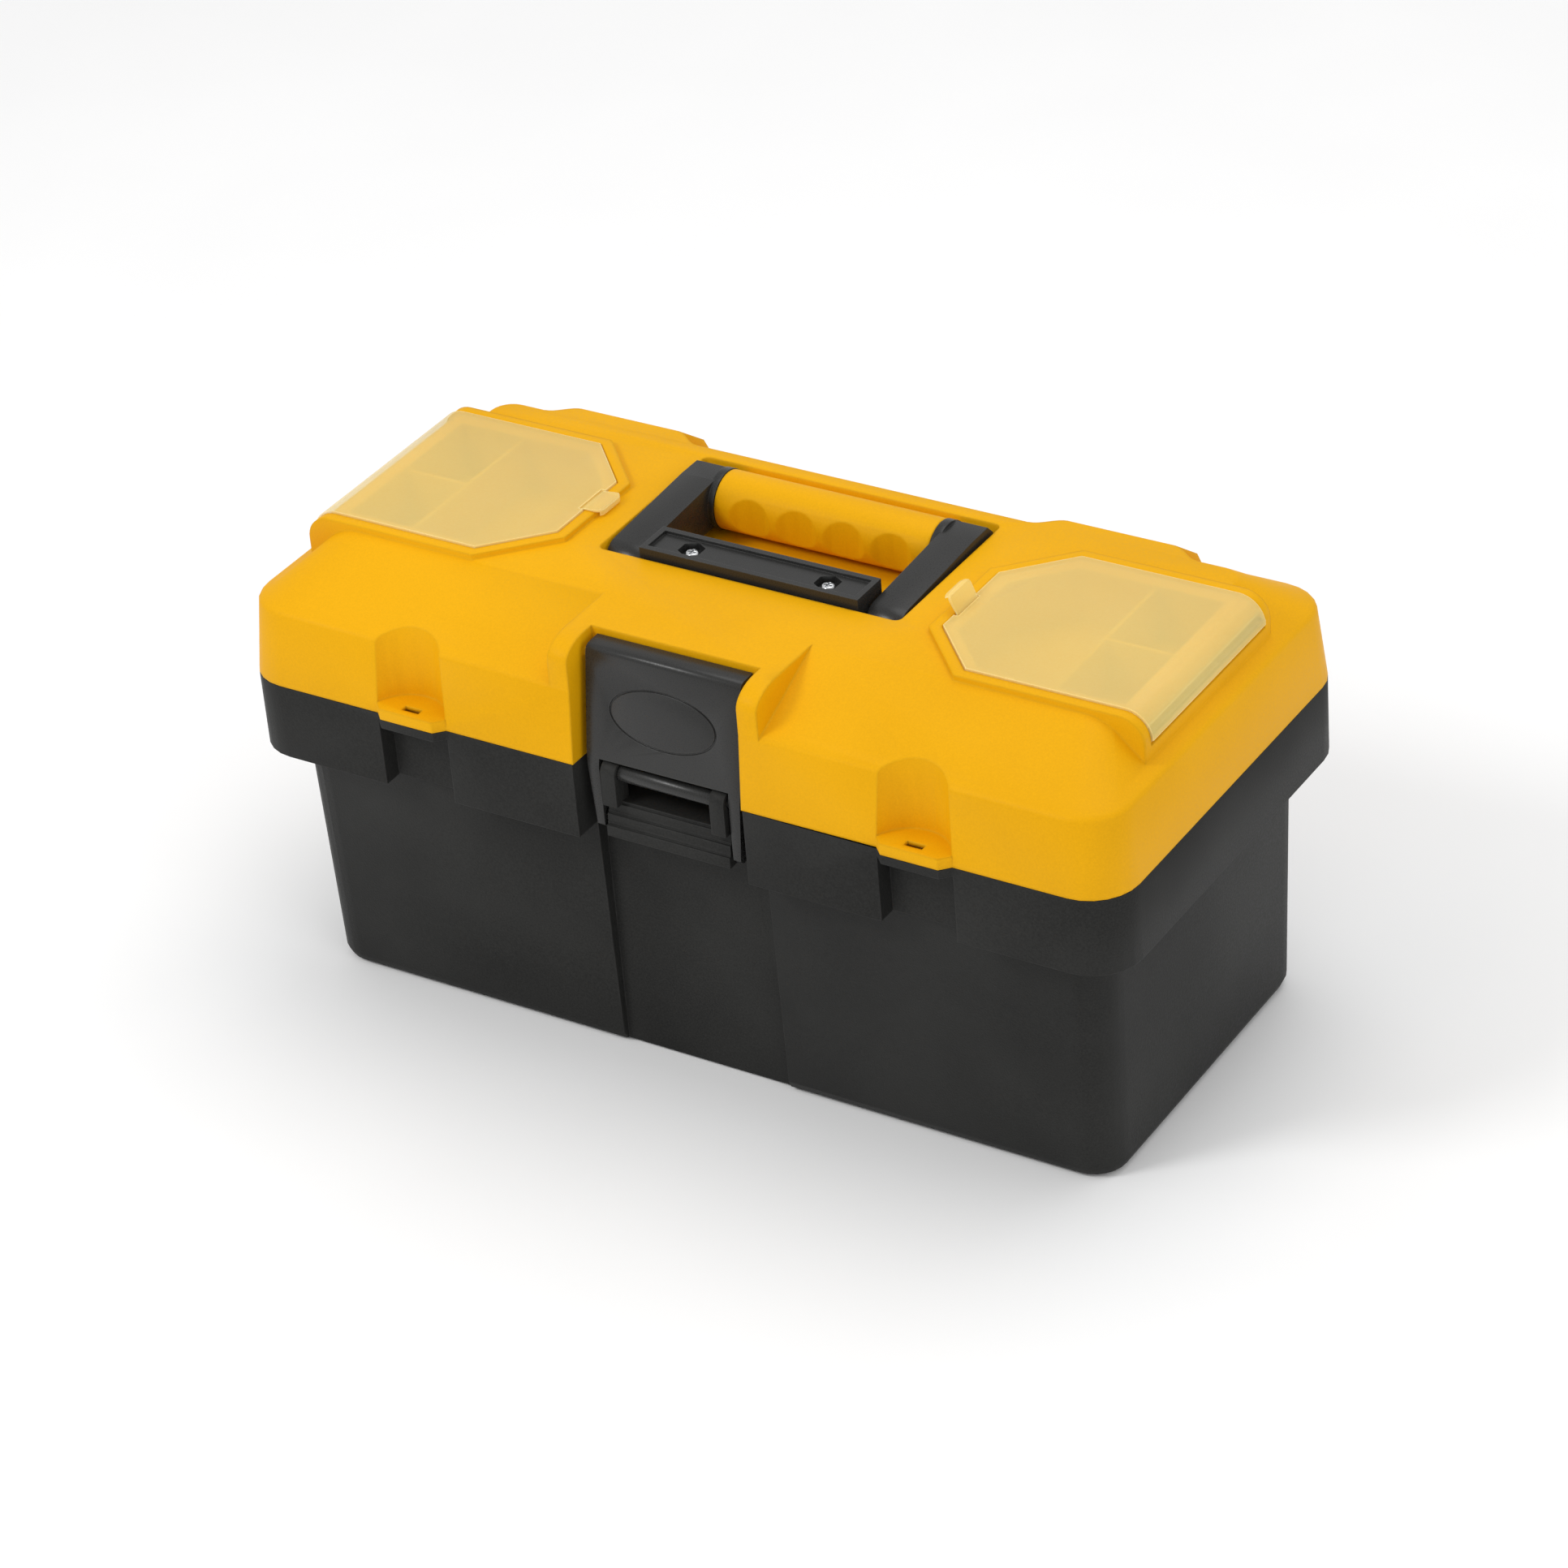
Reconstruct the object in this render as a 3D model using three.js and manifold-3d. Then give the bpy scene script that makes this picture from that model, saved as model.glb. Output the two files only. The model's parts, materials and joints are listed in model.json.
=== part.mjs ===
// Hand tool box with a moulded lid, two lidded organizers, a folding handle and a lift-out tray.
// Millimetres, +Z up, X along the length, the front faces -Y, origin at the middle of the underside.
import * as THREE from 'three';
import * as BufferGeometryUtils from 'three/addons/utils/BufferGeometryUtils.js';
import Module from 'manifold-3d';

const wasm = await Module();
wasm.setup();

// ---------- driving dimensions ----------
const length = 400;             // over the rim band, along X
const width = 192;              // over the rim band, along Y
const wall = 2.6;               // moulded wall of tub and lid
const gap = 0.3;                // between pieces that rest on each other
const play = 0.5;               // round pieces that slide in or out of another
const rimHeight = 142.2;        // top of the tub
const bandHeight = 33.5;        // the wide band round the top of the tub
const bandOverhang = 13;        // how far the band stands out from the tub's walls
const tubDraft = 2.4;           // how much each tub wall leans in by the bottom
const cornerRadius = 20;        // plan corners of the band and the lid
const tubCornerRadius = 15;
const bottomRadius = 5;

const lidWallHeight = 32.5;     // lid wall, from the seam to the shoulder
const lidDraft = 2.8;
const shoulderRise = 2.6;       // shoulder between the lid wall and the slopes
const shoulderDepth = 6;
const plateauHeight = 51.5;     // flat top, above the seam
const endSlope = 18;            // run of the slopes at the two ends
const frontSlope = 36;          // run of the front slope
const backSlope = 22;           // run of the back slope

const baySideRoom = 3.7;        // between the latch and the sides of its bay in tub and lid
const panelDepth = 5.5;         // front panel set back under the latch
const bayPocketDepth = 30;      // room behind the latch's feet, from the band's face
const bayFloorRoom = 1;         // under the latch's feet
const lidBayDepth = 21.8;       // bay in the lid, from the band's face
const finWidth = 8.5;           // fins each side of the latch on the lid
const finRoundDepth = 14;       // soft corner at their front, along Y
const finRoundHeight = 8;       // and along Z
const catchThickness = 3;       // catch that the latch's hook slides over

const latchHalfWidth = 35.3;
const latchThickness = 3;
const latchPivotInset = 8;      // pivot behind the band's face
const latchPivotDrop = 3.2;     // pivot below the tub's rim
const latchBarRadius = 3.4;
const latchJournalRadius = 2.4;
const latchFootDrop = 26.5;     // feet reach this far below the pivot
const latchFootTaper = 2.4;     // legs narrow by this much at the feet
const latchTopDrop = 2.4;       // top of the hook below the lid's flat top
const latchHookReach = 13;      // tip of the hook behind the pivot
const latchHookDepth = 4;       // hook's underside below its top
const latchLean = 7;            // top of the plate leans back
const latchLegWidth = 5.7;
const latchLegTop = 8;          // legs start to narrow this far above the pivot
const latchLegDepth = 3.5;      // legs thicken behind the plate
const latchFootRound = 2;
const latchFaceOffset = 0.8;    // plate's face in front of the bar
const grooveHalfLength = 24.5;  // oval groove in the plate
const grooveHalfHeight = 12.5;
const grooveWidth = 0.9;
const grooveDepth = 0.7;
const grooveRise = 28;          // its middle above the pivot
const latchWindowRise = 5.6;    // top of the window between the legs, above the pivot
const bracketSideRoom = 1.3;    // between the bracket and the latch's legs
const bracketEyeWidth = 6.6;
const bracketEyeWall = 2.5;
const bracketTopDrop = 13;      // top of the ribbed block below the pivot
const ribStep = 1.2;            // each rib stands out of the one above
const ribLipDepth = 0.9;

const earOffset = 115;          // padlock ears, from the middle
const earHalfWidth = 16.5;
const earReach = 4;             // how far the ears stand out of the front
const earThickness = 3.8;
const earSlotLength = 8;
const earSlotWidth = 3;
const lidEarThickness = 4.8;
const earReliefMargin = 1.5;     // the lid's ears are hollow underneath, round the slot
const earReliefTop = 1.6;        // plate left over the hollow
const earPocketDepth = 12;      // half-round pocket in the lid above each ear
const earNotchDepth = 8.5;      // notch in the band below each ear

const hingeOffset = 115;        // back hinges, from the middle
const hingeWidth = 48;
const hingeBehind = 4;          // hinge axis behind the band
const knuckleRadius = 4.5;
const lidKnuckleWidth = 9.5;
const pinRadius = 2;
const swellReach = 7.1;         // the flat top reaches further back over each hinge
const swellHalfLength = 23.5;
const swellFlare = 14;          // its ends flare out to the flat top's back edge
const bossRoot = 12;            // hinge housing's inner edge, in front of the band's back
const bossFootHeight = 12;      // upright foot over the knuckles
const bossWaistInset = 2;       // its back leans in from here,
const bossWaistDrop = 20;       // this far below the flat top,
const bossShoulderInset = 6;    // to here
const bossShoulderDrop = 13;

const pivotY = -12;             // handle pivot, along Y
const pivotDrop = 8.5;          // handle pivot below the lid's flat top
const armLength = 56.6;         // from the pivot back to the grip's axis
const armWidth = 15.4;
const armEndRadius = 8.2;
const armCorner = 4;            // cut corners at the arm's back end
const armTopInset = 1.2;        // the grip stands out of the arm on top,
const armBottomInset = 3.4;     // underneath
const armBackInset = 3;         // and behind
const stubRadius = 4;
const stubLength = 14;
const gripDrop = 8.2;           // grip axis below the lid's flat top
const gripRadius = 12.4;
const gripCoreRadius = 5;
const gripHalfLength = 49.5;
const collarWidth = 2.5;        // collar between the grip and each arm
const fingerPitch = 22;
const fingerScoopRadius = 17;
const fingerDepth = 3;
const recessSideRoom = 1.6;     // round the handle in its recess
const recessBackRoom = 1.6;
const recessFloorRoom = 1.9;
const recessCorner = 3;

const retainerEndRoom = 2.2;    // between the retainer and the arms
const retainerHalfWidth = 9;
const retainerRoom = 1.6;       // between the retainer and the recess's front wall
const retainerRise = 4;         // above the lid's flat top
const retainerRim = 2.5;
const retainerPanelDepth = 1.4;
const socketDepth = 5;          // hexagonal screw sockets
const socketRadius = 5.6;
const screwInset = 21;          // screws, inwards from the arms
const screwHeadRadius = 3.2;
const screwHeadHeight = 2.5;
const screwShankRadius = 1.6;
const screwShankLength = 15.5;
const screwCrossLength = 3.8;
const screwCrossWidth = 0.8;

const coverSetback = 19.2;      // organizer cover: inner edge, outwards from the recess
const coverEndInset = 8.5;      // its outer end, inwards from the end of the box
const coverRollRadius = 11.5;   // its outer end rolls down
const coverHalfWidth = 46;
const coverChamferRun = 23.5;   // cut corners at its inner edge, along X
const coverChamferRise = 24.2;  // and along Y
const coverThickness = 2;
const coverProud = 0.7;         // above the raised border round it
const padRise = 2.2;            // border above the plateau
const padBorder = 5.2;          // border round the cover
const wellInset = 5.5;          // wells inside the cover's outline
const wellEndInset = 3;         // wells short of where the cover starts to roll
const wellDepth = 25;
const dividerInset = 33;        // divider along Y, inwards from where the cover starts to roll
const dividerThickness = 2;
const dividerDrop = 1.5;        // top of the dividers below the cover
const barrelRadius = 2.8;
const barrelRise = 1.4;         // cover's barrel above the roll's centre
const coverPinRadius = 1.2;
const coverPinReach = 3;        // pins stand out of the cover's sides
const clipWidth = 16;
const clipOverlap = 3;          // clip reaches past the raised border
const clipThickness = 1.2;
const clipLip = 1.6;            // down-turned lip
const clipLipWidth = 1.2;
const clipBeadRadius = 0.8;
const clipOffset = 5.3;         // off the cover's middle
const clipOpenAngle = 60;       // the right clip stands open

const trayDepth = 42;
const trayWall = 2;
const trayRimRoom = 1;          // between the tray's rim and the walls of the ear notches
const trayFlangeThickness = 2.4;
const trayClearance = 5;        // round the tray's body
const trayDraft = 3;
const trayNotchRoom = 2;        // round the latch bay's walls
const trayRimCorner = 16;
const trayCorner = 12;
const trayHandleRise = 25;
const trayHandleThickness = 4;
const trayHandleHalfLength = 62;
const trayHandleSlope = 14;     // how much its ends lean in
const trayHandleBar = 6;        // bar over the finger gap
const trayGapHalfLength = 40;
const trayGapCorner = 8;
const trayFootWall = 1.7;       // channel that clips over the tray's middle wall
const trayFootDepth = 5;

// ---------- derived places ----------
const seam = rimHeight + gap;
const halfLength = length / 2;
const halfWidth = width / 2;
const bandBottom = rimHeight - bandHeight;
const ledgeTop = bandBottom + wall;
const tubHalfLength = halfLength - bandOverhang;
const tubHalfWidth = halfWidth - bandOverhang;
const shoulderLow = seam + lidWallHeight;
const shoulderHigh = shoulderLow + shoulderRise;
const plateau = seam + plateauHeight;
const lidTopHalfLength = halfLength - lidDraft;
const lidTopHalfWidth = halfWidth - lidDraft;
const slopeHalfLength = lidTopHalfLength - shoulderDepth;
const slopeHalfWidth = lidTopHalfWidth - shoulderDepth;
const panelY = -(tubHalfWidth - panelDepth);
const pocketY = -(halfWidth - bayPocketDepth);
const pocketFloor = rimHeight - latchPivotDrop - latchFootDrop - bayFloorRoom;
const bayHalfWidth = latchHalfWidth + baySideRoom;
const windowHalfWidth = latchHalfWidth - latchLegWidth;
const bracketHalfWidth = windowHalfWidth - bracketSideRoom;
const latchPivot = new THREE.Vector2(-(halfWidth - latchPivotInset), rimHeight - latchPivotDrop);
const hingeAxis = new THREE.Vector2(halfWidth + hingeBehind, rimHeight + gap / 2);
const latchFace = latchPivot.x - latchJournalRadius - latchFaceOffset;
const latchBack = latchFace + latchThickness;
const latchHookHeight = plateau - latchTopDrop - latchPivot.y;
const catchRadius = latchHookHeight - latchHookDepth;
const handlePivot = new THREE.Vector2(pivotY, plateau - pivotDrop);
const gripAxis = new THREE.Vector2(pivotY + armLength, plateau - gripDrop);
const armInner = gripHalfLength + gap + collarWidth;
const armOuter = armInner + armWidth;
const stubEnd = armInner - stubLength;
const recessHalfLength = armOuter + recessSideRoom;
const recessFront = pivotY - retainerHalfWidth - retainerRoom;
const recessBack = gripAxis.x + gripRadius + recessBackRoom;
const recessFloor = gripAxis.y - gripRadius - recessFloorRoom;
const retainerHalfLength = armInner - retainerEndRoom;
const screwOffset = armInner - screwInset;
const screwSeat = plateau + retainerRise - socketDepth + gap;
const retainerTop = plateau + retainerRise;
const retainerBottom = handlePivot.y + gap / 2;
const padTop = plateau + padRise;
const coverTop = padTop + coverProud;
const coverBottom = coverTop - coverThickness;
const coverInner = recessHalfLength + coverSetback;
const coverEnd = halfLength - coverEndInset;
const coverRoll = coverEnd - coverRollRadius;
const rollCentre = new THREE.Vector2(coverRoll, coverTop - coverRollRadius);
const coverHinge = new THREE.Vector2(coverEnd - barrelRadius, rollCentre.y + barrelRise);
const clipHinge = new THREE.Vector2(coverInner + clipBeadRadius + 0.1, coverTop - coverThickness / 2);
const wellDivider = coverRoll - dividerInset;
const padEnd = coverEnd - coverProud;
const wellFloor = padTop - wellDepth;

// ---------- geometry helpers ----------
function solidOf(geometry) {
  let bare = geometry.index ? geometry.toNonIndexed() : geometry.clone();
  bare.deleteAttribute('normal');
  bare.deleteAttribute('uv');
  bare = BufferGeometryUtils.mergeVertices(bare, 1e-4);
  return new wasm.Manifold(new wasm.Mesh({
    numProp: 3,
    vertProperties: new Float32Array(bare.attributes.position.array),
    triVerts: new Uint32Array(bare.index.array),
  }));
}

function geometryOf(solid) {
  const mesh = solid.getMesh();
  const geometry = new THREE.BufferGeometry();
  geometry.setAttribute('position', new THREE.BufferAttribute(new Float32Array(mesh.vertProperties), 3));
  geometry.setIndex(new THREE.BufferAttribute(new Uint32Array(mesh.triVerts), 1));
  geometry.computeVertexNormals();
  return geometry;
}

const join = (first, ...rest) => rest.reduce((all, one) => all.add(one), first);
const cut = (first, ...rest) => rest.reduce((all, one) => all.subtract(one), first);

function box(x0, x1, y0, y1, z0, z1) {
  const geometry = new THREE.BoxGeometry(x1 - x0, y1 - y0, z1 - z0);
  geometry.translate((x0 + x1) / 2, (y0 + y1) / 2, (z0 + z1) / 2);
  return solidOf(geometry);
}

// A closed outline in two axes, pushed along the third from low to high.
// plane 'yz' is pushed along X, 'xz' along Y and 'xy' along Z.
function prism(plane, outline, low, high) {
  const shape = outline instanceof THREE.Shape ? outline : new THREE.Shape(outline);
  const geometry = new THREE.ExtrudeGeometry(shape, { depth: high - low, bevelEnabled: false });
  const turn = new THREE.Matrix4();
  if (plane === 'yz') {
    turn.set(0, 0, 1, low, 1, 0, 0, 0, 0, 1, 0, 0, 0, 0, 0, 1);
  } else if (plane === 'xz') {
    turn.set(1, 0, 0, 0, 0, 0, -1, high, 0, 1, 0, 0, 0, 0, 0, 1);
  } else {
    turn.makeTranslation(0, 0, low);
  }
  geometry.applyMatrix4(turn);
  return solidOf(geometry);
}

// Cylinder along X, Y or Z; a and b are its centre in the other two axes, in order.
function cylinder(axis, radius, low, high, a, b, segments = 24) {
  const geometry = new THREE.CylinderGeometry(radius, radius, high - low, segments);
  const middle = (low + high) / 2;
  if (axis === 'x') {
    geometry.rotateZ(Math.PI / 2);
    geometry.translate(middle, a, b);
  } else if (axis === 'y') {
    geometry.translate(a, middle, b);
  } else {
    geometry.rotateX(Math.PI / 2);
    geometry.translate(a, b, middle);
  }
  return solidOf(geometry);
}

function roundedRectangle(x0, x1, y0, y1, radius, steps = 6) {
  const centres = [[x1 - radius, y1 - radius], [x0 + radius, y1 - radius],
    [x0 + radius, y0 + radius], [x1 - radius, y0 + radius]];
  return centres.flatMap(([x, y], quarter) => Array.from({ length: steps + 1 }, (_, step) => {
    const angle = (quarter + step / steps) * Math.PI / 2;
    return new THREE.Vector2(x + radius * Math.cos(angle), y + radius * Math.sin(angle));
  }));
}

// Rounded rectangles at rising heights, skinned into one closed body.
function loft(rings) {
  const outlines = rings.map((ring) =>
    roundedRectangle(-ring.x, ring.x, ring.front, ring.back, ring.radius));
  const count = outlines[0].length;
  const positions = rings.flatMap((ring, level) =>
    outlines[level].flatMap((point) => [point.x, point.y, ring.z]));
  const index = [];
  for (let level = 0; level < rings.length - 1; level += 1) {
    for (let side = 0; side < count; side += 1) {
      const a = level * count + side;
      const b = level * count + (side + 1) % count;
      index.push(a, b, b + count, a, b + count, a + count);
    }
  }
  const top = (rings.length - 1) * count;
  for (let side = 1; side < count - 1; side += 1) {
    index.push(0, side + 1, side);
    index.push(top, top + side, top + side + 1);
  }
  const geometry = new THREE.BufferGeometry();
  geometry.setAttribute('position', new THREE.BufferAttribute(new Float32Array(positions), 3));
  geometry.setIndex(index);
  return solidOf(geometry);
}

const ring = (z, x, y, radius) => ({ z, x, front: -y, back: y, radius });

// Points of a round corner of an outline.
function arc(centre, radius, from, to, steps = 8) {
  return Array.from({ length: steps + 1 }, (_, step) => {
    const angle = THREE.MathUtils.degToRad(from + (to - from) * step / steps);
    return new THREE.Vector2(centre.x + radius * Math.cos(angle), centre.y + radius * Math.sin(angle));
  });
}

const points = (...pairs) => pairs.map(([a, b]) => new THREE.Vector2(a, b));
const mirrored = (solid) => solid.mirror([1, 0, 0]);
const sides = [1, -1];
const bothSides = (make) => sides.map(make);
// The span between two distances from the middle, on one side of it.
const span = (side, near, far) => (side > 0 ? [near, far] : [-far, -near]);

// ---------- materials ----------
const plastic = (color, roughness) => new THREE.MeshStandardMaterial({ color, roughness, metalness: 0 });
const blackGrain = plastic(0x333332, 0.62);
const blackSatin = plastic(0x2b2b2b, 0.45);
const amber = plastic(0xf2ae1c, 0.38);
const milky = new THREE.MeshStandardMaterial({
  color: 0xf3dda0, roughness: 0.3, metalness: 0, transparent: true, opacity: 0.6,
});
const steel = new THREE.MeshStandardMaterial({ color: 0xc9ccd0, roughness: 0.28, metalness: 1 });

const toolbox = new THREE.Group();

function addPiece(name, solid, material) {
  const mesh = new THREE.Mesh(geometryOf(solid), material);
  mesh.name = name;
  toolbox.add(mesh);
  return mesh;
}

// ---------- tub ----------
// The tub's walls below the band; inset shrinks it to the hollow inside.
function tubBody(inset, bottom, top) {
  const leanAt = (z) => tubDraft * (1 - z / bandBottom);
  const radius = tubCornerRadius - inset;
  const round = inset ? 0 : bottomRadius;
  const level = (z, shrink) => ring(z, tubHalfLength - inset - leanAt(z) - shrink,
    tubHalfWidth - inset - leanAt(z) - shrink, radius - shrink);
  const lower = round
    ? [level(bottom, round), level(bottom + round * 0.3, round * 0.3)]
    : [];
  return loft([...lower, level(bottom + round, 0), level(top, 0)]);
}

function tubBand(inset, bottom, top) {
  return loft([bottom, top].map((z) => ring(z, halfLength - inset, halfWidth - inset, cornerRadius - inset)));
}

// The latch bay: a shallow panel all the way down, and a deep pocket behind the latch's feet.
function latchBay(grow) {
  const half = bayHalfWidth + grow;
  const panel = box(-half, half, -width, panelY + grow, -1, rimHeight + 1);
  const pocket = box(-half, half, -width, pocketY + grow, pocketFloor - grow, rimHeight + 1);
  return join(panel, pocket);
}

// Notches in the band below the padlock ears.
function earNotches(grow) {
  return bothSides((side) => {
    const half = earHalfWidth + grow;
    return box(side * earOffset - half, side * earOffset + half, -width, -(halfWidth - earNotchDepth) + grow,
      bandBottom - 1, rimHeight - earThickness + grow);
  });
}

function earPlate(centre, low, high) {
  const outer = -(halfWidth + earReach);
  const inner = -(halfWidth - earPocketDepth - wall / 2);
  const outline = points(
    [centre - earHalfWidth, inner], [centre - earHalfWidth, -halfWidth],
    [centre - earHalfWidth + earReach, outer], [centre + earHalfWidth - earReach, outer],
    [centre + earHalfWidth, -halfWidth], [centre + earHalfWidth, inner],
  );
  return prism('xy', outline, low, high);
}

function earSlots() {
  const low = -(halfWidth + earSlotWidth / 6);
  return bothSides((side) => box(
    side * earOffset - earSlotLength / 2, side * earOffset + earSlotLength / 2,
    low, low + earSlotWidth, rimHeight - 3 * earThickness, seam + 3 * lidEarThickness,
  ));
}

// Hollows under the lid's ears, so the slots pass through a thin plate.
function earReliefs() {
  const low = -(halfWidth + earSlotWidth / 6) - earReliefMargin;
  const half = earSlotLength / 2 + earReliefMargin;
  return bothSides((side) => box(side * earOffset - half, side * earOffset + half,
    low, low + earSlotWidth + 2 * earReliefMargin, seam - 1, seam + lidEarThickness - earReliefTop));
}

// Three stepped ribs on the block under the latch's bar; each has a thin lip along its top.
function bracketRibs() {
  const blockTop = latchPivot.y - bracketTopDrop;
  const ribHeight = (blockTop - pocketFloor) / 3;
  return [0, 1, 2].flatMap((step) => {
    const top = blockTop - step * ribHeight;
    const face = latchPivot.x - latchJournalRadius + ribLipDepth - step * ribStep;
    const rib = (front, high) => box(-bracketHalfWidth, bracketHalfWidth, front, pocketY + wall / 2,
      pocketFloor - wall / 2, high);
    return [rib(face, top - ribHeight / 4), rib(face + ribLipDepth, top)];
  });
}

// One of two open eyes that hold the latch's bar.
function bracketEye(side) {
  const radius = latchJournalRadius + bracketEyeWall;
  const [low, high] = span(side, bracketHalfWidth - bracketEyeWidth, bracketHalfWidth);
  const round = cylinder('x', radius, low, high, latchPivot.x, latchPivot.y, 28);
  const post = box(low, high, latchPivot.x - radius, latchPivot.x + radius - 1,
    latchPivot.y - bracketTopDrop - 1, latchPivot.y);
  const bore = cylinder('x', latchJournalRadius + gap, low - 1, high + 1, latchPivot.x, latchPivot.y, 28);
  const mouthHalf = latchJournalRadius * 0.9;
  const mouth = box(low - 1, high + 1, latchPivot.x, latchPivot.x + 2 * radius,
    latchPivot.y - mouthHalf, latchPivot.y + mouthHalf);
  return cut(join(round, post), bore, mouth);
}

function knuckle(low, high) {
  return cylinder('x', knuckleRadius, low, high, hingeAxis.x, hingeAxis.y, 28);
}

// Space round the hinge axis, cut out of the other side's walls.
function knuckleRoom(low, high) {
  return cylinder('x', knuckleRadius + 2 * gap, low - gap, high + gap, hingeAxis.x, hingeAxis.y, 28);
}

function hingeSpans(side) {
  const low = side * hingeOffset - hingeWidth / 2;
  const high = low + hingeWidth;
  return {
    low,
    high,
    lid: [[low, low + lidKnuckleWidth], [high - lidKnuckleWidth, high]],
    tub: [low + lidKnuckleWidth + gap, high - lidKnuckleWidth - gap],
  };
}

function pinBore(side) {
  const { low, high } = hingeSpans(side);
  return cylinder('x', pinRadius + gap, low - 1, high + 1, hingeAxis.x, hingeAxis.y, 20);
}

function buildTub() {
  let outside = join(tubBody(0, 0, bandBottom + 1), tubBand(0, bandBottom, rimHeight));
  outside = cut(outside, latchBay(0), ...earNotches(0));
  let hollow = join(tubBody(wall, wall, ledgeTop + 1), tubBand(wall, ledgeTop, rimHeight + 1));
  hollow = cut(hollow, latchBay(wall), ...earNotches(wall));
  let tub = join(cut(outside, hollow), ...bracketRibs(), ...bothSides(bracketEye));
  for (const side of sides) {
    const ear = earPlate(side * earOffset, rimHeight - earThickness, rimHeight);
    const spans = hingeSpans(side);
    const neck = box(...spans.tub, halfWidth - wall / 2, hingeAxis.x, hingeAxis.y - knuckleRadius, rimHeight);
    tub = join(tub, ear, neck, knuckle(...spans.tub));
    tub = cut(tub, ...spans.lid.map((ends) => knuckleRoom(...ends)), pinBore(side));
  }
  return cut(tub, ...earSlots());
}

// ---------- lid ----------
function lidShape(inset) {
  const low = seam - (inset ? 1 : 0);
  const draftAt = (z) => lidDraft * (z - seam) / lidWallHeight;
  const wallRing = (z, shrink = 0) => ring(z, halfLength - draftAt(z) - inset - shrink,
    halfWidth - draftAt(z) - inset - shrink, cornerRadius - inset - shrink);
  const slope = (z, share) => ({
    z: z - inset,
    x: slopeHalfLength - inset * 0.6 - endSlope * share,
    front: -(slopeHalfWidth - inset * 0.6 - frontSlope * share),
    back: slopeHalfWidth - inset * 0.6 - backSlope * share,
    radius: cornerRadius - shoulderDepth - inset - 5 * share,
  });
  return loft([
    wallRing(low), wallRing(shoulderLow - inset - 1), wallRing(shoulderLow - inset, 0.5),
    wallRing(shoulderLow - inset + 1, 1.8),
    slope(shoulderHigh, 0), slope(plateau - 0.6, 0.965), slope(plateau, 1.02),
  ]);
}

// Hexagon of an organizer cover in plan, grown or shrunk by an offset, on the +X side.
function coverOutline(offset, outer) {
  const lean = offset * Math.tan(Math.PI / 8);
  const half = coverHalfWidth + offset;
  const inner = coverInner - offset;
  return points(
    [outer, -half], [outer, half], [coverInner + coverChamferRun - lean, half],
    [inner, coverHalfWidth - coverChamferRise + lean],
    [inner, -(coverHalfWidth - coverChamferRise + lean)], [coverInner + coverChamferRun - lean, -half],
  );
}

// Side view of an organizer: flat, then rolled down at its outer end.
function rollProfile(top, radius, outer, floor) {
  return [
    ...points([coverInner - 40, floor], [outer, floor], [outer, rollCentre.y]),
    ...arc(rollCentre, radius, 0, 90, 10).slice(outer > rollCentre.x + radius - 0.01 ? 0 : 1),
    ...points([coverRoll, top], [coverInner - 40, top]),
  ];
}

function organizerPad(inset) {
  const outer = padEnd - inset;
  const radius = padTop - rollCentre.y - inset;
  const outline = coverOutline(padBorder - inset, outer);
  const profile = rollProfile(padTop - inset, radius, outer, shoulderLow - inset);
  return prism('xy', outline, shoulderLow - wall - 5, padTop + 5)
    .intersect(prism('xz', profile, -halfWidth, halfWidth));
}

// Room for the cover to lie in, with its rolled end and barrel.
function coverSeat() {
  const outline = coverOutline(play, coverRoll + 2 * coverRollRadius);
  const underside = rollProfile(coverBottom - gap, coverRollRadius - coverThickness - gap,
    coverEnd - coverThickness - gap, 0);
  const below = prism('xz', underside, -halfWidth, halfWidth);
  const lump = cut(prism('xy', outline, rollCentre.y, plateau + 40), below);
  const barrel = cylinder('y', barrelRadius + play, -coverHalfWidth - play, coverHalfWidth + play,
    coverHinge.x, coverHinge.y, 24);
  const lip = box(coverHinge.x, coverHinge.x + 20, -coverHalfWidth - play, coverHalfWidth + play,
    coverHinge.y - barrelRadius - play, coverHinge.y + 20);
  return join(lump, barrel, lip);
}

// Three wells under each cover: one inner, two outer.
function organizerWells(grow) {
  const half = dividerThickness / 2 - grow;
  const outer = coverRoll - wellEndInset + grow;
  const top = coverBottom - dividerDrop;
  const whole = prism('xy', coverOutline(grow - wellInset, outer), wellFloor - grow, coverTop + 5);
  if (grow) {
    return whole;
  }
  const along = box(wellDivider - half, wellDivider + half, -halfWidth, halfWidth, 0, top);
  const across = box(wellDivider, outer + 1, -half, half, 0, top);
  return cut(whole, along, across);
}

function pinHoles() {
  const reach = coverHalfWidth + coverPinReach + 1;
  return cylinder('y', coverPinRadius + gap, -reach, reach, coverHinge.x, coverHinge.y, 16);
}

function handleRecess(grow) {
  const outline = roundedRectangle(-recessHalfLength - grow, recessHalfLength + grow,
    recessFront - grow, recessBack + grow, recessCorner + grow, 4);
  return prism('xy', outline, recessFloor - grow, plateau + 20);
}

// Block in the recess that the handle's stubs turn on.
function pivotPedestal() {
  const top = handlePivot.y - gap / 2;
  const block = box(-retainerHalfLength, retainerHalfLength, pivotY - retainerHalfWidth,
    pivotY + retainerHalfWidth, recessFloor - wall / 2, top);
  const low = screwSeat - screwShankLength - play;
  const pilots = bothSides((side) =>
    cylinder('z', screwShankRadius + gap, low, top + 1, side * screwOffset, pivotY, 16));
  return cut(block, ...bothSides(stubRoom), ...pilots);
}

function stubRoom(side) {
  const ends = span(side, stubEnd - play, armOuter);
  return cylinder('x', stubRadius + gap, ...ends, handlePivot.x, handlePivot.y, 28);
}

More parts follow.
